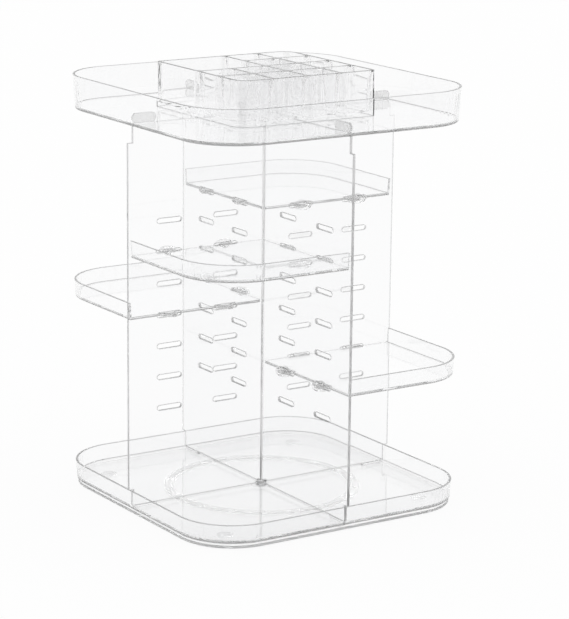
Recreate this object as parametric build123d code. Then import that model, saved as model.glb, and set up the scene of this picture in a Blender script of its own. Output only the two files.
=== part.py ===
from build123d import *
import os
from math import radians, tan

# Rotating cosmetics organizer in clear plastic, millimetres, +Z up.
# The origin is the middle of the footprint, on the surface that the pads stand on.
# One cross panel lies in the XZ plane, the other in the YZ plane, and they halve each other.

# ---------------------------------------------------------------- driving dimensions
# cross panels
panel_width = 230.0
panel_rise = 279.5            # from the floor of the bottom tray to the top tray's underside
panel_thickness = 2.2
notch_depth = 4.0             # how much the panel is drawn in beside the tray walls
notch_height = 12.0
lap_clearance = 0.1           # each side of a panel in the other panel's slit

# rows of slots that hold the shelf trays
slot_length = 20.0
slot_height = 3.4
slot_rows = 7
row_pitch = 23.1
inner_column = 33.2           # from the middle of the panel to the slot's middle
outer_column = 80.7

# trays with the full outline
tray_width = 227.6            # outside, at the rim
tray_corner = 43.0            # outside, at the rim
tray_wall = 1.8
tray_floor = 2.2
tray_draft = 4.0              # degrees that the walls lean outward
bottom_rim_rise = 11.6        # rim above the floor
top_rim_rise = 23.2
foot_rounding = 1.0           # outer edge round the underside
rim_rounding = 0.35

# snap lugs at the corners of the panels, through slits in the tray floors
lug_middle = 100.4            # from the middle of the panel to the middle of the lug
lug_neck = 16.4
lug_head = 19.4
lug_rise = 6.9                # how far a lug stands above the top tray's floor
lug_rounding = 3.2
lug_side_clearance = 0.4
lug_seat_gap = 0.15           # between a lug's head and the floor that it holds
low_head_overhang = 0.6       # of the short heads under the bottom tray
low_head_gap = 0.35           # between those heads and the base plate
low_head_rounding = 0.4

# shelf trays, a quarter of the outline each
shelf_floor = 2.0
shelf_rim_rise = 10.7
shelf_gap = 0.5               # between a shelf and the faces of the panels
shelf_root_rounding = 1.5     # upright edge beside the middle of the panels
tongue_thickness = 2.8
tongue_reach = 5.0            # beyond the far face of the panel
tongue_tip = 4.8              # width at the tip, before its corners are rounded
tongue_end_clearance = 1.2    # from the outer end of the straight part of the slot
tongue_rounding = 2.4
tongue_edge = 0.8
tongue_root = 2.5             # how far the tongue runs on under the shelf's floor

# oval sockets on the far face of the panel, for two tongues of each shelf
socket_width = 13.0
socket_height = 8.0
socket_end_wall = 0.8         # beyond the tip of the tongue
socket_taper = 1.0            # how much the oval is drawn in at its far end, all round
socket_rounding = 1.2
socket_play = 0.1             # round the tongue
neck_play = 0.2               # between the socket's neck and the tongue

# base, ball race and pivot
base_inset = 1.8              # of the base plate inside the rim of the trays
base_thickness = 2.0
base_edge = 0.5
race_gap = 1.6                # between the base plate and the bottom tray
race_radius = 70.0
ball_diameter = 3.0
ball_clearance = 0.15
ball_count = 18
cage_width = 7.0
cage_thickness = 0.8
pad_diameter = 12.0
pad_stand = 0.5               # how far a pad stands out of the base plate
pad_seat = 0.6                # depth of the pad's recess
pad_place = 84.0              # of each pad along X and along Y
pin_diameter = 5.0
pin_clearance = 0.05          # running fit of the pin in the base plate
pin_head_diameter = 9.0
pin_head_height = 0.9
pin_head_room = 0.5           # between the pin's head and the notch in the panels
washer_diameter = 13.0
washer_thickness = 0.8
washer_play = 0.2             # on every side of the washer
rivet_diameter = 7.0
rivet_height = 0.4
hub_wall = 1.4                # of the base plate's hub, over and round the washer
hub_play = 0.6                # between the hub and the bottom tray

# lipstick holder
cell_pitch = 28.35
cells_across = 4
holder_height = 33.0
holder_wall = 1.6
holder_corner = 12.0          # the front left and back right corners
holder_small_corner = 3.0     # the other two
cell_depth = 28.5
cell_corner = 5.0
cell_draft = 5.0              # degrees that a small cell narrows
large_cell_draft = 1.0
cup_wall = 1.3
holder_skin = 1.4             # land between the mouths of the cups
holder_rim_rounding = 0.4

# ---------------------------------------------------------------- heights
base_bottom = pad_stand
base_top = base_bottom + base_thickness
tray_bottom = base_top + race_gap
floor_top = tray_bottom + tray_floor
panel_top = floor_top + panel_rise
top_floor = panel_top + tray_floor
ball_height = base_top + race_gap / 2
slot_middle = floor_top + panel_rise / 2

panel_face = panel_thickness / 2
shelf_edge = panel_face + shelf_gap
lean = tan(radians(tray_draft))


def row_height(row):
    """Height of the middle of a row of slots, the lowest row being 1."""
    return slot_middle + (row - (slot_rows + 1) / 2) * row_pitch


def disc(diameter, bottom, height):
    """Upright cylinder on the Z axis from bottom to bottom + height."""
    return Pos(0, 0, bottom) * Cylinder(diameter / 2, height, align=(Align.CENTER, Align.CENTER, Align.MIN))


# ---------------------------------------------------------------- trays
def drafted_square(width, corner, height):
    """Rounded square that grows outward with the walls' lean as it rises from z = 0."""
    return extrude(RectangleRounded(width, width, corner), amount=height, taper=-tray_draft)


def tray_shell(floor, rise):
    """Tray with its underside at z = 0 and its rim at floor + rise."""
    height = floor + rise
    foot_width = tray_width - 2 * height * lean
    foot_corner = tray_corner - height * lean
    shell = drafted_square(foot_width, foot_corner, height)
    shell = fillet(shell.faces().sort_by(Axis.Z)[0].edges(), foot_rounding)
    inset = tray_wall - floor * lean
    pocket = drafted_square(foot_width - 2 * inset, foot_corner - inset, rise)
    shell -= Pos(0, 0, floor) * pocket
    return fillet(shell.faces().sort_by(Axis.Z)[-1].edges(), rim_rounding)


def lug_slits():
    """The four slits in a tray's floor that the lugs of both panels pass through."""
    slit = Box(
        lug_neck + 2 * lug_side_clearance,
        panel_thickness + 2 * lug_side_clearance,
        3 * tray_floor,
    )
    slits = Part()
    for quarter in range(4):
        slits += Rot(0, 0, 90 * quarter) * Pos(lug_middle, 0, 0) * slit
    return slits


def ball_groove():
    """Ring that the balls run in, to be cut from the plate below and the tray above."""
    return Pos(0, 0, ball_height) * Torus(race_radius, ball_diameter / 2 + ball_clearance)


def bottom_tray():
    tray = tray_shell(tray_floor, bottom_rim_rise) - lug_slits()
    tray -= Cylinder(pin_diameter / 2, 3 * tray_floor)
    return Pos(0, 0, tray_bottom) * tray - ball_groove()


def top_tray():
    return Pos(0, 0, panel_top) * (tray_shell(tray_floor, top_rim_rise) - lug_slits())


# ---------------------------------------------------------------- shelf trays
def tongue(slot_place, play=0.0):
    """Tongue through the slot at Y = slot_place of the panel in the YZ plane, larger by play all round.

    Its outer flank runs at 45 degrees, so the shelf draws out along its diagonal.
    """
    outer = slot_place + (slot_length - slot_height) / 2 - tongue_end_clearance + play
    tip = -panel_face - tongue_reach - play
    root = shelf_edge + tongue_root
    outer_tip = outer - (panel_face - tip)
    outline = Polyline(
        (root, tongue_inner_side(slot_place) - play),
        (tip, tongue_inner_side(slot_place) - play),
        (tip, outer_tip),
        (panel_face, outer),
        (root, outer),
        close=True,
    )
    outline = make_face(outline)
    outline = fillet(outline.vertices().sort_by(Axis.X)[0:2], tongue_rounding)
    blade = extrude(outline, amount=tongue_thickness / 2 + play, both=True)
    rims = blade.faces().sort_by(Axis.Z)[0].edges() + blade.faces().sort_by(Axis.Z)[-1].edges()
    return fillet(rims, tongue_edge)


def tongue_inner_side(slot_place):
    outer = slot_place + (slot_length - slot_height) / 2 - tongue_end_clearance
    return outer - panel_thickness - tongue_reach - tongue_tip


def tongue_socket(slot_place):
    """Oval socket for that tongue, with a neck that grips in the inner end of the slot."""
    far = -panel_face - tongue_reach - socket_end_wall
    ovals = []
    for place, inset in ((-panel_face, 0), (far, socket_taper)):
        section = Plane(origin=(place, slot_place, 0), x_dir=(0, 1, 0), z_dir=(-1, 0, 0))
        ovals.append(section * Ellipse(socket_width / 2 - inset, socket_height / 2 - inset))
    socket = loft(ovals)
    socket = fillet(socket.faces().sort_by(Axis.X)[0].edges(), socket_rounding)
    socket -= tongue(slot_place, socket_play)
    neck_start = slot_place - (slot_length - slot_height) / 2
    neck_width = tongue_inner_side(slot_place) - neck_play - neck_start
    neck = Box(panel_thickness, neck_width, slot_height, align=(Align.MAX, Align.MIN, Align.CENTER))
    return socket + Pos(panel_face, neck_start, 0) * neck


def across_diagonal(piece):
    """The same piece on the other side of the shelf."""
    return mirror(piece, about=Plane((0, 0, 0), z_dir=(1, -1, 0)))


def shelf_tray():
    """Shelf in the quarter +X +Y, with the middle of its floor's thickness at z = 0."""
    quarter = Box(tray_width, tray_width, tray_width, align=(Align.MIN, Align.MIN, Align.CENTER))
    root_edge = quarter.edges().filter_by(Axis.Z).sort_by_distance((0, 0, 0))[0]
    quarter = fillet(root_edge, shelf_root_rounding)
    shelf = tray_shell(shelf_floor, shelf_rim_rise) & Pos(shelf_edge, shelf_edge, 0) * quarter
    shelf = Pos(0, 0, -shelf_floor / 2) * shelf
    for slot_place in (inner_column, outer_column):
        blade = tongue(slot_place)
        shelf += blade
        shelf += across_diagonal(blade)
    return shelf


# ---------------------------------------------------------------- cross panels
def cross_panel(lap_opens_up):
    """Panel in the XZ plane, with its slit for the other panel open at the top or the bottom."""
    narrow_width = panel_width - 2 * notch_depth
    outline = Rectangle(panel_width, panel_rise - 2 * notch_height)
    outline += Rectangle(narrow_width, panel_rise)
    edge = panel_rise / 2

    head_bottom = edge + tray_floor + lug_seat_gap
    head_top = edge + tray_floor + lug_rise
    head = Rectangle(lug_head, head_top - head_bottom)
    head = fillet(head.vertices(), lug_rounding)
    head = Pos(0, (head_bottom + head_top) / 2) * head
    neck = Pos(0, edge) * Rectangle(lug_neck, 2 * (tray_floor + lug_rounding))

    low_top = -edge - tray_floor - lug_seat_gap
    low_bottom = -edge - tray_floor - race_gap + low_head_gap
    low_width = lug_neck + 2 * (lug_side_clearance + low_head_overhang)
    low_head = Rectangle(low_width, low_top - low_bottom)
    low_head = fillet(low_head.vertices(), low_head_rounding)
    low_head = Pos(0, (low_top + low_bottom) / 2) * low_head
    low_neck = Pos(0, (low_bottom + low_top) / 2 + tray_floor) * Rectangle(lug_neck, 2 * tray_floor)

    for side in (-1, 1):
        outline += Pos(side * lug_middle, 0) * (head + neck + low_head + low_neck)

    slot = SlotOverall(slot_length, slot_height)
    for row in range(1, slot_rows + 1):
        for column in (-outer_column, -inner_column, inner_column, outer_column):
            outline -= Pos(column, row_height(row) - slot_middle) * slot

    slit_width = panel_thickness + 2 * lap_clearance
    slit = Rectangle(slit_width, edge + lap_clearance / 2, align=(Align.CENTER, Align.MIN))
    slit = Pos(0, -lap_clearance / 4) * slit
    outline -= slit if lap_opens_up else Rot(0, 0, 180) * slit

    pin_notch = Rectangle(pin_head_diameter + 2 * pin_head_room, 2 * (pin_head_height + pin_head_room))
    for end in (-edge, edge):
        outline -= Pos(0, end) * pin_notch

    plate = extrude(Plane.XZ * outline, amount=panel_face, both=True)
    return Pos(0, 0, slot_middle) * plate


# ---------------------------------------------------------------- base, race and pivot
def base_plate():
    width = tray_width - 2 * base_inset
    plate = extrude(RectangleRounded(width, width, tray_corner - base_inset), amount=base_thickness)
    rims = plate.faces().sort_by(Axis.Z)[0].edges() + plate.faces().sort_by(Axis.Z)[-1].edges()
    plate = Pos(0, 0, base_bottom) * fillet(rims, base_edge)
    well_diameter = washer_diameter + 2 * washer_play
    hub_top = tray_bottom - hub_play
    plate += disc(well_diameter + 2 * hub_wall, base_bottom, hub_top - base_bottom)
    plate -= disc(well_diameter, 0, hub_top - hub_wall)
    plate -= disc(pin_diameter + 2 * pin_clearance, 0, tray_bottom)
    plate -= ball_groove()
    for place in pad_places():
        plate -= place * disc(pad_diameter, 0, base_bottom + pad_seat)
    return plate


def pad_places():
    return [Pos(x * pad_place, y * pad_place, 0) for x, y in ((-1, -1), (1, -1), (1, 1), (-1, 1))]


def ball_places():
    return [Rot(0, 0, 360 * i / ball_count) * Pos(race_radius, 0, ball_height) for i in range(ball_count)]


def ball_cage():
    cage = Cylinder(race_radius + cage_width / 2, cage_thickness)
    cage -= Cylinder(race_radius - cage_width / 2, cage_thickness)
    cage = Pos(0, 0, ball_height) * cage
    for place in ball_places():
        cage -= place * Cylinder(ball_diameter / 2 + ball_clearance, 2 * cage_thickness)
    return cage


def pivot_pin():
    """Pin with its head on the tray's floor and its riveted end under the washer."""
    washer_bottom = tray_bottom - hub_play - hub_wall - washer_play - washer_thickness
    rivet_bottom = washer_bottom - rivet_height
    pin = disc(pin_diameter, rivet_bottom, floor_top - rivet_bottom)
    pin += disc(pin_head_diameter, floor_top, pin_head_height)
    pin += disc(rivet_diameter, rivet_bottom, rivet_height)
    return pin


def pivot_washer():
    washer_bottom = tray_bottom - hub_play - hub_wall - washer_play - washer_thickness
    washer = disc(washer_diameter, washer_bottom, washer_thickness)
    return washer - disc(pin_diameter, 0, tray_bottom)


# ---------------------------------------------------------------- lipstick holder
def rounded_cell(left, right, front, back, radii):
    """Rectangle whose corners have their own radii: front left, front right, back right, back left."""
    corners = [(left, front), (right, front), (right, back), (left, back)]
    cell = make_face(Polyline(*corners, close=True))
    for corner, radius in zip(corners, radii):
        if radius > 0:
            vertex = cell.vertices().sort_by_distance((*corner, 0))[0]
            cell = fillet(vertex, radius)
    return cell


def inset_cell(edges, inset, radii):
    """The cell between those four edges, drawn in by inset."""
    left, right, front, back = edges
    return rounded_cell(left + inset, right - inset, front + inset, back - inset, radii)


def cell_spans():
    """The cells as (left, right, front, back) in whole pitches from the left front corner."""
    half = cells_across // 2
    spans = [(0, half, half, cells_across)]
    for column in range(cells_across):
        for row in range(cells_across):
            if column >= half or row < half:
                spans.append((column, column + 1, row, row + 1))
    return spans


def lipstick_holder():
    """Block of tapered cups that hang from a thin skirt, with one cup four cells large."""
    side = cells_across * cell_pitch
    half = side / 2
    skirt_half = half + holder_wall / 2
    skirt_radii = [holder_corner, holder_small_corner] * 2
    outline = rounded_cell(-skirt_half, skirt_half, -skirt_half, skirt_half, skirt_radii)
    core_half = skirt_half - holder_wall
    core_corner = holder_corner - holder_wall
    core_radii = [radius - holder_wall for radius in skirt_radii]
    core = rounded_cell(-core_half, core_half, -core_half, core_half, core_radii)
    holder = extrude(outline, amount=holder_height)
    hollow = extrude(core, amount=holder_height - holder_skin)
    cells = Part()
    for left, right, front, back in cell_spans():
        edges = [value * cell_pitch - half for value in (left, right, front, back)]
        radii = [cell_corner] * 4
        if (left, front) == (0, 0):
            radii[0] = core_corner
        if (right, back) == (cells_across, cells_across):
            radii[2] = core_corner
        draft = cell_draft if right - left == 1 else large_cell_draft
        mouth = inset_cell(edges, holder_wall / 2, radii)
        cell = extrude(mouth, amount=-cell_depth, taper=draft)
        rim = inset_cell(edges, holder_wall / 2 - cup_wall, [radius + cup_wall for radius in radii])
        cup = extrude(rim, amount=-cell_depth - cup_wall, taper=draft)
        hollow -= Pos(0, 0, holder_height) * cup
        cells += Pos(0, 0, holder_height) * cell
    holder = holder - hollow - cells
    holder = fillet(holder.faces().sort_by(Axis.Z)[-1].edges(), holder_rim_rounding)
    return Pos(0, 0, top_floor) * holder


# ---------------------------------------------------------------- the pieces, as they stand
# Each shelf: the quarter that it fills, in turns of 90 degrees from +X +Y, and its row of slots.
shelf_seats = {"back": (0, 7), "left": (1, 4), "front": (2, 6), "right": (3, 2)}

pieces = {
    "base_plate": base_plate(),
    "ball_cage": ball_cage(),
    "bearing_balls": Part() + [place * Sphere(ball_diameter / 2) for place in ball_places()],
    "pivot_pin": pivot_pin(),
    "pivot_washer": pivot_washer(),
    "bottom_tray": bottom_tray(),
    "cross_panel_x": cross_panel(lap_opens_up=True),
    "cross_panel_y": Rot(0, 0, 90) * cross_panel(lap_opens_up=False),
    "top_tray": top_tray(),
    "lipstick_holder": lipstick_holder(),
}
for number, place in enumerate(pad_places(), start=1):
    pieces[f"foot_pad_{number}"] = place * disc(pad_diameter, 0, base_bottom + pad_seat)
for name, (turns, row) in shelf_seats.items():
    seat = Rot(0, 0, 90 * turns) * Pos(0, 0, row_height(row))
    pieces[f"shelf_tray_{name}"] = seat * shelf_tray()
    for column, slot_place in (("inner", inner_column), ("outer", outer_column)):
        socket = across_diagonal(tongue_socket(slot_place))
        pieces[f"tongue_socket_{name}_{column}"] = seat * socket

os.makedirs("parts", exist_ok=True)
for name, piece in pieces.items():
    piece.label = name
    export_step(piece, os.path.join("parts", f"{name}.step"))
    print(name, len(piece.solids()), "solids", round(piece.volume), "mm3")
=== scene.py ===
# %% [markdown]
# # A turning cosmetics organizer in clear plastic
#
# The CAD model gives every part of the organizer in its right place, in metres: a bottom tray on a ball race,
# two slotted panels that cross, four shelf trays hooked into the slots, a top tray and a loose lipstick holder.
# This notebook photographs it, softens its knife-sharp edges, and gives each part its finish.
#
# Clear plastic has almost no colour of its own. What the eye sees is the room, bent and mirrored at the edges,
# so most of the work is in three things: the light, the edges, and how the light inside a sheet dies away.

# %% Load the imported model
from math import cos, radians, sin

import bmesh
import bpy
from mathutils import Matrix, Vector


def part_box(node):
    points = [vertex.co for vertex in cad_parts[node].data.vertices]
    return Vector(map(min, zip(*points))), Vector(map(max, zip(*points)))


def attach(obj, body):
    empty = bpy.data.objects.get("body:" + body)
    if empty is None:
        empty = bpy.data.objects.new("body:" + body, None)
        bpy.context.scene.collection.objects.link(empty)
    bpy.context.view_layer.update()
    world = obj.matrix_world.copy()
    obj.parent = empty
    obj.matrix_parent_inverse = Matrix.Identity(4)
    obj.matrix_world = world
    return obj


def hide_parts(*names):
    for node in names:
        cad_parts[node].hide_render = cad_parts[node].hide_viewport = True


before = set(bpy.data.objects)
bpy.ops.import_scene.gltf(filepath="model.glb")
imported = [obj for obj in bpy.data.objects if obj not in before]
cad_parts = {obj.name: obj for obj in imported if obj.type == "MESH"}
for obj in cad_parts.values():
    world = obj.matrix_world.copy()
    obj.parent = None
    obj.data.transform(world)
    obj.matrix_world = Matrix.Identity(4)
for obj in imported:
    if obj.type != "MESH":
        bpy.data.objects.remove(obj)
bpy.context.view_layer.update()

# %% [markdown]
# ## The camera
#
# The organizer is seen from a little above and from the front left, through a long lens from two metres away,
# so that its upright edges stay nearly parallel. A camera could be aimed with a constraint at an empty object.
# Here its three directions are worked out from a turn, a tilt and a very small roll, because then each of these
# is one number that can be changed on its own.

# %% Place the camera
CAMERA_PLACE = Vector((-1.00753, -1.56583, 0.59002))
CAMERA_YAW = radians(33.246)
CAMERA_TILT = radians(13.601)
CAMERA_ROLL = radians(0.644)
LENS = 150.67
SENSOR = 36.0
NEAREST = 0.1
FURTHEST = 100.0

forward = Vector((
    sin(CAMERA_YAW) * cos(CAMERA_TILT),
    cos(CAMERA_YAW) * cos(CAMERA_TILT),
    -sin(CAMERA_TILT),
))
level = Vector((cos(CAMERA_YAW), -sin(CAMERA_YAW), 0.0))
upward = level.cross(forward)
right = cos(CAMERA_ROLL) * level + sin(CAMERA_ROLL) * upward
up = -sin(CAMERA_ROLL) * level + cos(CAMERA_ROLL) * upward

camera_data = bpy.data.cameras.new("camera")
camera_data.lens = LENS
camera_data.sensor_width = SENSOR
camera_data.clip_start = NEAREST
camera_data.clip_end = FURTHEST
camera = bpy.data.objects.new("camera", camera_data)
turn = Matrix((right, up, -forward)).transposed().to_4x4()
camera.matrix_world = Matrix.Translation(CAMERA_PLACE) @ turn
scene = bpy.context.scene
scene.collection.objects.link(camera)
scene.camera = camera
print("camera", round(CAMERA_PLACE.length, 3), "m from the organizer's foot")

# %% [markdown]
# ## How far light may travel inside the plastic
#
# A ray that enters the thin end of a sheet can be mirrored to and fro between its two faces dozens of times
# before it leaves again. A renderer that stops after a dozen bounces paints every such edge black. The edges
# could be brightened with a glow of their own, but that would show in every view. So many bounces are allowed
# here, and the slight tint of the plastic greys the edges instead.

# %% Allow long light paths
LONGEST_PATH = 128
SHEETS_IN_A_ROW = 32

scene.view_settings.view_transform = "Standard"
scene.cycles.max_bounces = LONGEST_PATH
scene.cycles.transmission_bounces = LONGEST_PATH
scene.cycles.glossy_bounces = LONGEST_PATH
scene.cycles.transparent_max_bounces = SHEETS_IN_A_ROW
scene.cycles.caustics_reflective = False
scene.cycles.caustics_refractive = False
print("paths of up to", LONGEST_PATH, "bounces")

# %% [markdown]
# ## The studio
#
# Clear plastic on white can be photographed in a bright tent: white all round, with something darker for the
# edges to mirror. How this object was lit isn't known. The darker belt well above the horizon was chosen
# because, from the camera's place, the level faces of the trays mirror the low, white part and stay white,
# while rounded edges mirror the belt and draw grey lines. From a higher place the floors of the trays mirror
# the belt as well and look greyer. The belt could be made of dark cards beside the object, but cards would
# show in a view from the side, while a sky that changes only with height looks the same from every side.

# %% Hang the sky
SKY = ((0.0, 1.0), (0.3, 1.0), (0.42, 0.25), (0.8, 0.3), (0.95, 0.9))
SKY_STRENGTH = 1.02

world = bpy.data.worlds.new("studio")
world.use_nodes = True
scene.world = world
sky_nodes = world.node_tree.nodes
sky_links = world.node_tree.links
direction = sky_nodes.new("ShaderNodeTexCoord")
height = sky_nodes.new("ShaderNodeSeparateXYZ")
belt = sky_nodes.new("ShaderNodeValToRGB")
stops = belt.color_ramp.elements
while len(stops) > 1:
    stops.remove(stops[-1])
stops[0].position = SKY[0][0]
stops[0].color = (SKY[0][1], SKY[0][1], SKY[0][1], 1.0)
for position, grey in SKY[1:]:
    stops.new(position).color = (grey, grey, grey, 1.0)
sky_links.new(direction.outputs["Generated"], height.inputs[0])
sky_links.new(height.outputs["Z"], belt.inputs[0])
sky_links.new(belt.outputs[0], sky_nodes["Background"].inputs["Color"])
sky_nodes["Background"].inputs["Strength"].default_value = SKY_STRENGTH
print("sky of", len(stops), "greys")

# %% [markdown]
# ## The floor
#
# The photograph has a plain white ground with hardly a shadow. A white sheet lit from above would do, but
# the organizer would shade it. Here the sheet is dark and has a strong even glow of its own, so it stays white
# everywhere. It lies a hair below the pads, because two surfaces in the very same plane flicker.

# %% Lay the floor
FLOOR_HALF_WIDTH = 20.0
FLOOR_GAP = 0.0002
FLOOR_GREY = 0.1
FLOOR_ROUGHNESS = 0.9
FLOOR_GLOW = 0.94

floor_mesh = bpy.data.meshes.new("floor")
bm = bmesh.new()
bmesh.ops.create_grid(bm, x_segments=1, y_segments=1, size=FLOOR_HALF_WIDTH)
bmesh.ops.translate(bm, verts=bm.verts, vec=(0.0, 0.0, -FLOOR_GAP))
bm.to_mesh(floor_mesh)
bm.free()
floor = bpy.data.objects.new("floor", floor_mesh)
scene.collection.objects.link(floor)
white_sheet = bpy.data.materials.new("white_sheet")
white_sheet.use_nodes = True
sheet = white_sheet.node_tree.nodes["Principled BSDF"].inputs
sheet["Base Color"].default_value = (FLOOR_GREY, FLOOR_GREY, FLOOR_GREY, 1.0)
sheet["Roughness"].default_value = FLOOR_ROUGHNESS
sheet["Specular IOR Level"].default_value = 0.0
sheet["Emission Color"].default_value = (1.0, 1.0, 1.0, 1.0)
sheet["Emission Strength"].default_value = FLOOR_GLOW
floor_mesh.materials.append(white_sheet)
print("floor", 2 * FLOOR_HALF_WIDTH, "m wide")

# %% [markdown]
# ## A recipe for clear plastic
#
# All the large parts are clear plastic, and differ in tint and in how rough the surface is. One recipe makes
# them all. Its ripple is a soft noise that tilts the surface a little, and its scratches are a noise stretched
# into long thin lines that are rougher than the polish around them. How strong both are is a guess. An image
# could carry the scratches, but a noise needs no file and no unwrapping, and laid out on the part's own
# coordinates it stays on the part when that moves. For shadow rays the plastic is simply see-through, because
# with the caustics switched off, plastic that bends the light casts a dark shadow.

# %% Write the recipe
PLASTIC_IOR = 1.49
SHADOW_TINT = 0.97
SCRATCH_STRETCH = (900.0, 40.0, 40.0)
SCRATCH_TURN = (0.2, 0.4, 0.7)
SCRATCH_DETAIL = 3.0
SCRATCH_START = 0.58
SCRATCH_FULL = 0.78
WAVE_DETAIL = 1.0
WAVE_DEPTH = 0.001


def clear_plastic(name, tint, polish, worn, ripple, ripple_size):
    """Clear plastic: polish and worn are its least and greatest roughness."""
    material = bpy.data.materials.new(name)
    material.use_nodes = True
    nodes = material.node_tree.nodes
    links = material.node_tree.links
    plastic = nodes["Principled BSDF"]
    plastic.inputs["Base Color"].default_value = (*tint, 1.0)
    plastic.inputs["IOR"].default_value = PLASTIC_IOR
    plastic.inputs["Transmission Weight"].default_value = 1.0

    place = nodes.new("ShaderNodeTexCoord")
    stretch = nodes.new("ShaderNodeMapping")
    stretch.inputs["Rotation"].default_value = SCRATCH_TURN
    stretch.inputs["Scale"].default_value = SCRATCH_STRETCH
    links.new(place.outputs["Object"], stretch.inputs["Vector"])
    scratches = nodes.new("ShaderNodeTexNoise")
    scratches.inputs["Scale"].default_value = 1.0
    scratches.inputs["Detail"].default_value = SCRATCH_DETAIL
    links.new(stretch.outputs[0], scratches.inputs["Vector"])
    wear = nodes.new("ShaderNodeMapRange")
    wear.inputs["From Min"].default_value = SCRATCH_START
    wear.inputs["From Max"].default_value = SCRATCH_FULL
    wear.inputs["To Min"].default_value = polish
    wear.inputs["To Max"].default_value = worn
    links.new(scratches.outputs["Fac"], wear.inputs["Value"])
    links.new(wear.outputs[0], plastic.inputs["Roughness"])

    waves = nodes.new("ShaderNodeTexNoise")
    waves.inputs["Scale"].default_value = 1.0 / ripple_size
    waves.inputs["Detail"].default_value = WAVE_DETAIL
    links.new(place.outputs["Object"], waves.inputs["Vector"])
    tilt = nodes.new("ShaderNodeBump")
    tilt.inputs["Strength"].default_value = ripple
    tilt.inputs["Distance"].default_value = WAVE_DEPTH
    links.new(waves.outputs["Fac"], tilt.inputs["Height"])
    links.new(tilt.outputs[0], plastic.inputs["Normal"])

    see_through = nodes.new("ShaderNodeBsdfTransparent")
    see_through.inputs["Color"].default_value = (SHADOW_TINT, SHADOW_TINT, SHADOW_TINT, 1.0)
    path = nodes.new("ShaderNodeLightPath")
    mix = nodes.new("ShaderNodeMixShader")
    links.new(path.outputs["Is Shadow Ray"], mix.inputs[0])
    links.new(plastic.outputs[0], mix.inputs[1])
    links.new(see_through.outputs[0], mix.inputs[2])
    links.new(mix.outputs[0], nodes["Material Output"].inputs["Surface"])
    return material


print("a recipe of refractive index", PLASTIC_IOR)

# %% [markdown]
# ## Softening the edges
#
# No real edge is perfectly sharp. A slightly rounded one catches the grey belt of the sky from any side, and
# draws the thin outline by which a clear part is seen at all. The CAD part has knife-sharp edges, so a copy of
# its mesh is merged, its flat faces are joined, and the sharp edges get a narrow bevel with a satin finish,
# whose grey tint is painted shade that darkens the outline further. The bevel could be left to a modifier.
# Here the operator is used, because the edges can then be chosen one by one, and the volume before and after
# can be compared. The volume shows a gross mistake only: where an edge runs round facets narrower than the
# bevel, some of the new faces cross each other, and the volume hardly changes.

# %% Merge a part into one closed skin
FLAT = radians(0.05)
MERGE = 0.000001


def merged(node_name):
    """A part's mesh as one closed skin with its flat faces joined."""
    bm = bmesh.new()
    bm.from_mesh(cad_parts[node_name].data)
    bmesh.ops.remove_doubles(bm, verts=bm.verts, dist=MERGE)
    bmesh.ops.dissolve_limit(bm, angle_limit=FLAT, verts=bm.verts, edges=bm.edges)
    bmesh.ops.recalc_face_normals(bm, faces=bm.faces)
    for face in bm.faces:
        face.smooth = False
    return bm


print("points closer than", MERGE, "m are merged")

# %% Bevel the sharp edges
SHARP = radians(30.0)
POLISHED_SLOT = 0
# Slot 1 holds a satin finish whose grey tint is painted shade along edges, cuts and rims.
SATIN_SHADE_SLOT = 1
MOST_CORNERS = 4


def bevel_sharp_edges(bm, width, stays_sharp):
    """Bevels the sharp edges, apart from those whose middle is in a place that stays sharp."""
    before = bm.calc_volume()
    chosen = [
        edge for edge in bm.edges
        if edge.is_manifold and edge.calc_face_angle(0.0) > SHARP
        and not stays_sharp((edge.verts[0].co + edge.verts[1].co) / 2)
    ]
    made = bmesh.ops.bevel(
        bm, geom=chosen, offset=width, offset_type="OFFSET", affect="EDGES",
        segments=1, profile=0.5, material=-1, clamp_overlap=False,
    )
    # The bevel faces get the satin finish with its painted grey shade.
    for face in made["faces"]:
        face.material_index = SATIN_SHADE_SLOT
    print("bevelled", len(chosen), "edges, volume kept to", round(bm.calc_volume() / before, 4))


def cut_level(bm, height):
    """Cuts all faces at a height, so that a finish can end there."""
    everything = bm.verts[:] + bm.edges[:] + bm.faces[:]
    bmesh.ops.bisect_plane(
        bm, geom=everything, plane_co=(0.0, 0.0, height), plane_no=(0.0, 0.0, 1.0),
    )


def stand_for(bm, name, body, node_name, finishes):
    """Turns the bmesh into a piece that stands for its part and rides on its body."""
    crowded = [face for face in bm.faces if len(face.verts) > MOST_CORNERS]
    bmesh.ops.triangulate(bm, faces=crowded)
    mesh = bpy.data.meshes.new(name)
    bm.to_mesh(mesh)
    bm.free()
    for finish in finishes:
        mesh.materials.append(finish)
    piece = bpy.data.objects.new(name, mesh)
    scene.collection.objects.link(piece)
    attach(piece, body)
    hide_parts(node_name)
    print(name, len(mesh.polygons), "faces")


# %% [markdown]
# ## The cross panels
#
# The two panels are flat, clear sheets that halve each other. In the photograph each slot shows as a thin grey
# oval, so the narrow faces round the outline and the slots get a rougher satin finish than the broad ones,
# with a grey tint that is painted shade.
# The faces could be picked by hand in the editor. Here each is asked whether it looks along the panel's
# thickness, which needs no picking and holds for both panels. Above the floor of the top tray stand the snap
# lugs. They get a separate grey tint, a painted shade, because they look darker in the photograph.

# %% The finishes of the panels
GLASS_CLEAR = (0.975, 0.976, 0.978)
POLISHED = 0.0
HANDLED = 0.06
WAVE_HEIGHT = 0.02
WAVE_LENGTH = 0.03


def satin_plastic_painted_shade(name, grey, polish, worn):
    """Grey-tinted clear plastic with a rougher skin, for edges and cuts: the roughness is satin, the grey is
    painted shade.
    """
    return clear_plastic(name, (grey, grey, grey), polish, worn, WAVE_HEIGHT, WAVE_LENGTH)


panel_face = clear_plastic("panel_face", GLASS_CLEAR, POLISHED, HANDLED, WAVE_HEIGHT, WAVE_LENGTH)
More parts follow.
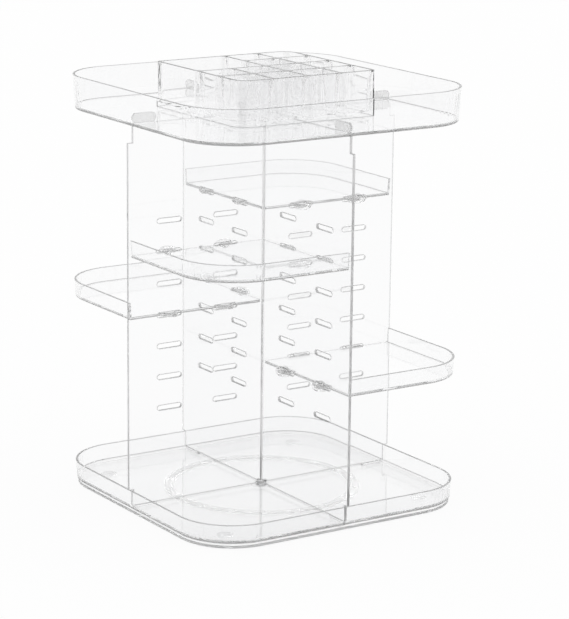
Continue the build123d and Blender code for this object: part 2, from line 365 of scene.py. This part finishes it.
# The grey of the cut faces is painted shade, standing in for the dark lines that the sheet's edges and slots
# draw.
panel_cut_painted_shade = satin_plastic_painted_shade("panel_cut_painted_shade", grey=0.6, polish=0.3, worn=0.4)
# The grey of the lugs is painted shade, for their darker look.
panel_lug_painted_shade = satin_plastic_painted_shade("panel_lug_painted_shade", grey=0.8, polish=0.25, worn=0.35)
print("3 finishes for the panels")

# %% Soften the panels
PANEL_BEVEL = 0.0004
LUG_SLOT = 2
TRAY_FLOOR = 0.0022
ACROSS = Vector((0.0, 1.0, 0.0))
IN_DEPTH = Vector((1.0, 0.0, 0.0))
SQUARE = 0.5
lug_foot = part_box("top_tray")[0].z + TRAY_FLOOR

for node_name, piece_name, thickness in (
    ("cross_panel_x", "panel_across", ACROSS),
    ("cross_panel_y", "panel_in_depth", IN_DEPTH),
):
    bm = merged(node_name)
    for face in bm.faces:
        # The cut faces get the satin finish with its painted grey shade.
        cut = abs(face.normal.dot(thickness)) < SQUARE
        face.material_index = SATIN_SHADE_SLOT if cut else POLISHED_SLOT
    bevel_sharp_edges(bm, PANEL_BEVEL, lambda middle: False)
    cut_level(bm, lug_foot)
    for face in bm.faces:
        # The lugs above the top tray's floor get the painted grey shade.
        if face.calc_center_median().z > lug_foot:
            face.material_index = LUG_SLOT
    stand_for(bm, piece_name, "carousel", node_name, (panel_face, panel_cut_painted_shade, panel_lug_painted_shade))

# %% [markdown]
# ## The trays
#
# The two full trays show two grey lines in the photograph, one along the rim and a darker one along the foot.
# The lines could be left to the light alone. Here rim and foot get satin finishes, whose greys were fitted to
# the photograph, because a finish can be set for one edge at a time; the greys are painted shade that draws the
# two lines. The slits in the middle of the floor, and the race for the balls below it, keep their sharp edges:
# they are filled by the panels and the balls, and a bevel there would only make gaps.

# %% The finishes of the trays
tray_face = clear_plastic("tray_face", GLASS_CLEAR, POLISHED, HANDLED, WAVE_HEIGHT, WAVE_LENGTH)
# The greys of rim and foot are painted shade, standing in for the grey lines along them, the foot's darker.
tray_edge_painted_shade = satin_plastic_painted_shade("tray_edge_painted_shade", grey=0.5, polish=0.3, worn=0.4)
tray_foot_painted_shade = satin_plastic_painted_shade("tray_foot_painted_shade", grey=0.4, polish=0.3, worn=0.4)
print("3 finishes for the trays")

# %% Satin and painted shade for the rim and the foot
RIM_DEPTH = 0.0009
FOOT_HEIGHT = 0.0016
LEVEL = 0.99
# Slot 2 of a tray holds the foot's satin finish with its darker painted shade.
FOOT_SLOT = 2
FACES_UP = 0.2
SLIT_REACH = 0.006
RACE_REACH = 0.085
WALL_INSIDE = 0.110


def in_the_middle(place):
    """Near the slits, the race or the hub, in the middle of a full tray."""
    nearer, further = sorted((abs(place.x), abs(place.y)))
    return (nearer < SLIT_REACH and further < WALL_INSIDE) or place.xy.length < RACE_REACH


def satin_rim_painted_shade(bm, node_name):
    """Gives the rounded rim its satin finish with painted grey shade, and all the rest the polish."""
    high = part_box(node_name)[1]
    for face in bm.faces:
        rim = face.calc_center_median().z > high.z - RIM_DEPTH and face.normal.z > FACES_UP
        # The rim faces get the satin finish with its painted grey shade.
        face.material_index = SATIN_SHADE_SLOT if rim else POLISHED_SLOT


def satin_foot_painted_shade(bm, node_name, stays_polished):
    """Gives the outer foot its satin finish with a darker painted grey shade."""
    foot_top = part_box(node_name)[0].z + FOOT_HEIGHT
    cut_level(bm, foot_top)
    for face in bm.faces:
        middle = face.calc_center_median()
        if middle.z < foot_top and abs(face.normal.z) < LEVEL and not stays_polished(middle):
            # The foot faces get the darker painted grey shade.
            face.material_index = FOOT_SLOT


print("satin", RIM_DEPTH, "m down from the rim and", FOOT_HEIGHT, "m up from the foot")

# %% [markdown]
# ## The ball race
#
# A round groove in the bottom tray and another in the base plate hold the balls. At its real refractive index
# the groove would draw strong rings, while the photograph shows only a faint one. How the real one stays so
# faint isn't known. The groove could be left out of the finished piece, but then the balls would sit in solid
# plastic. So its walls get a lower index than any real plastic has, as a stand-in fitted to the look.

# %% Make the race faint
RACE = (0.064, 0.080)
RACE_TOP = 0.0062
RACE_IOR = 1.08
RACE_SLOT = 3


def faint_plastic(name, grey, polish, worn, ior, alpha=1.0):
    """Clear plastic made fainter than it is, by a lower refractive index and alpha."""
    material = clear_plastic(name, (grey, grey, grey), polish, worn, WAVE_HEIGHT, WAVE_LENGTH)
    inputs = material.node_tree.nodes["Principled BSDF"].inputs
    inputs["IOR"].default_value = ior
    inputs["Alpha"].default_value = alpha
    return material


race_wall = faint_plastic("race_wall", grey=1.0, polish=POLISHED, worn=HANDLED, ior=RACE_IOR)


def make_race_faint(bm):
    """Gives the walls of the groove for the balls their faint finish."""
    for face in bm.faces:
        middle = face.calc_center_median()
        in_the_ring = RACE[0] < middle.xy.length < RACE[1]
        if in_the_ring and abs(face.normal.z) < LEVEL and middle.z < RACE_TOP:
            face.material_index = RACE_SLOT


print("race walls of refractive index", RACE_IOR)

# %% Soften the two full trays
TRAY_BEVEL = 0.0003
TRAY_FINISHES = (tray_face, tray_edge_painted_shade, tray_foot_painted_shade, race_wall)

for node_name in ("bottom_tray", "top_tray"):
    bm = merged(node_name)
    satin_rim_painted_shade(bm, node_name)
    satin_foot_painted_shade(bm, node_name, in_the_middle)
    bevel_sharp_edges(bm, TRAY_BEVEL, in_the_middle)
    make_race_faint(bm)
    stand_for(bm, "soft_" + node_name, "carousel", node_name, TRAY_FINISHES)

# %% [markdown]
# ## The shelf trays
#
# The four shelves have the same shape, so one loop softens them all. One could be softened and copied three
# times, but each has to stand for a part of its own. Each has two tongues on each of its two straight sides,
# which go through the slots of the panels. The tongues slide there, so their edges stay sharp.

# %% Soften the shelf trays
QUARTERS = {"back": (1, 1), "left": (-1, 1), "front": (-1, -1), "right": (1, -1)}
PANEL_HALF = 0.0015
SHELF_FINISHES = (tray_face, tray_edge_painted_shade, tray_foot_painted_shade)

for quarter, (x_side, y_side) in QUARTERS.items():
    def on_a_tongue(place, x_side=x_side, y_side=y_side):
        return min(place.x * x_side, place.y * y_side) < PANEL_HALF

    node_name = "shelf_tray_" + quarter
    bm = merged(node_name)
    satin_rim_painted_shade(bm, node_name)
    satin_foot_painted_shade(bm, node_name, on_a_tongue)
    bevel_sharp_edges(bm, TRAY_BEVEL, on_a_tongue)
    stand_for(bm, "soft_" + node_name, "shelf_" + quarter, node_name, SHELF_FINISHES)

# %% [markdown]
# ## The lipstick holder
#
# The holder has thin walls and deep drafted cells whose rounded corners bend the light into long streaks. Its
# rim is rounded already in the CAD part, so it gets the satin with its painted grey shade there and no bevel,
# which could only cut into the rounding. The corners of the cells get a slightly greyer tint, a painted shade,
# because the photograph shows them as lines. How grey was fitted to it, as was the clearer face, which keeps
# its many walls light.

# %% Finish the holder
HOLDER_CLEAR = (0.99, 0.99, 0.991)
# The corners' grey is painted shade, for the lines that the cells' corners draw.
HOLDER_CORNER_SHADE = (0.93, 0.93, 0.93)
HOLDER_HANDLED = 0.02
HOLDER_WAVE = 0.005
CORNER_MIDDLE = 0.5
UPRIGHT = 0.3
CORNER_SLOT = 2

holder_face = clear_plastic(
    "holder_face", HOLDER_CLEAR, POLISHED, HOLDER_HANDLED, HOLDER_WAVE, WAVE_LENGTH,
)
holder_corner_painted_shade = clear_plastic(
    "holder_corner_painted_shade", HOLDER_CORNER_SHADE, polish=0.05, worn=0.1, ripple=HOLDER_WAVE, ripple_size=WAVE_LENGTH,
)
HOLDER_FINISHES = (holder_face, tray_edge_painted_shade, holder_corner_painted_shade)

bm = merged("lipstick_holder")
satin_rim_painted_shade(bm, "lipstick_holder")
for face in bm.faces:
    turned = min(abs(face.normal.x), abs(face.normal.y))
    polished = face.material_index == POLISHED_SLOT
    if polished and turned > CORNER_MIDDLE and abs(face.normal.z) < UPRIGHT:
        # The cells' upright corners get the painted grey shade.
        face.material_index = CORNER_SLOT
stand_for(bm, "soft_lipstick_holder", "holder", "lipstick_holder", HOLDER_FINISHES)

# %% [markdown]
# ## The tongue sockets
#
# Eight small ovals show where the tongues come through one of each shelf's two panels. What they are made of
# isn't known. At the index of the other plastic they came out much darker than in the photograph. They could
# be made thinner, but the tongues need their room, so the finish is made fainter instead: the refractive index
# and the alpha are stand-ins fitted to the look. The face is fainter than the border, whose grey tint is
# painted shade, to come near the ring that the photograph shows.

# %% Finish the sockets
SOCKET_IOR = 1.1
SOCKET_FLAT = 0.8
FACE_ALPHA = 0.4
RING_ALPHA = 0.75

socket_face = faint_plastic(
    "socket_face", grey=1.0, polish=0.1, worn=0.15, ior=SOCKET_IOR, alpha=FACE_ALPHA,
)
# The ring's grey is painted shade, for the outline of the oval.
socket_ring_painted_shade = faint_plastic(
    "socket_ring_painted_shade", grey=0.75, polish=0.1, worn=0.15, ior=SOCKET_IOR, alpha=RING_ALPHA,
)
SOCKET_FINISHES = (socket_face, socket_ring_painted_shade)

for quarter in QUARTERS:
    for side in ("inner", "outer"):
        node_name = "tongue_socket_" + quarter + "_" + side
        low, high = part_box(node_name)
        thickness = ACROSS if high.y - low.y < high.x - low.x else IN_DEPTH
        bm = merged(node_name)
        for face in bm.faces:
            flat = abs(face.normal.dot(thickness)) > SOCKET_FLAT
            # The border faces get the painted grey shade, the flat faces the faint face.
            face.material_index = POLISHED_SLOT if flat else SATIN_SHADE_SLOT
        stand_for(bm, "soft_" + node_name, "carousel", node_name, SOCKET_FINISHES)

# %% [markdown]
# ## The turning base
#
# The base plate is a plain sheet whose side is satin like the trays' rims, with the same grey tint, a painted
# shade. Between it and the bottom tray run the balls in their cage, round the pin. Of these the photograph
# shows only the pin's head and a faint ring.
# Balls, cage and pads could be hidden from the camera, but a finish that makes them faint keeps them in the
# model for every view. Its index and alpha are stand-ins fitted to the look, and the parts keep the CAD mesh.

# %% Soften the base plate
bm = merged("base_plate")
for face in bm.faces:
    outside = face.calc_center_median().xy.length > RACE_REACH
    side = outside and abs(face.normal.z) < LEVEL
    # The side gets the satin finish with its painted grey shade.
    face.material_index = SATIN_SHADE_SLOT if side else POLISHED_SLOT
make_race_faint(bm)
stand_for(bm, "soft_base_plate", "base", "base_plate", TRAY_FINISHES)

# %% Finish the hidden parts
MILKY_IOR = 1.3
MILKY_ALPHA = 0.4

milky = faint_plastic("milky", grey=1.0, polish=0.6, worn=0.7, ior=MILKY_IOR, alpha=MILKY_ALPHA)
pin_clear = clear_plastic(
    "pin_clear", GLASS_CLEAR, polish=0.05, worn=0.12, ripple=WAVE_HEIGHT, ripple_size=WAVE_LENGTH,
)


def dress(node, material):
    """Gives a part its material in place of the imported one."""
    node.data.materials.clear()
    node.data.materials.append(material)


for name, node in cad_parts.items():
    if name.startswith("pivot"):
        dress(node, pin_clear)
    elif name in ("bearing_balls", "ball_cage") or name.startswith("foot_pad"):
        dress(node, milky)
    else:
        dress(node, tray_face)
print("all", len(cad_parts), "parts have a finish")
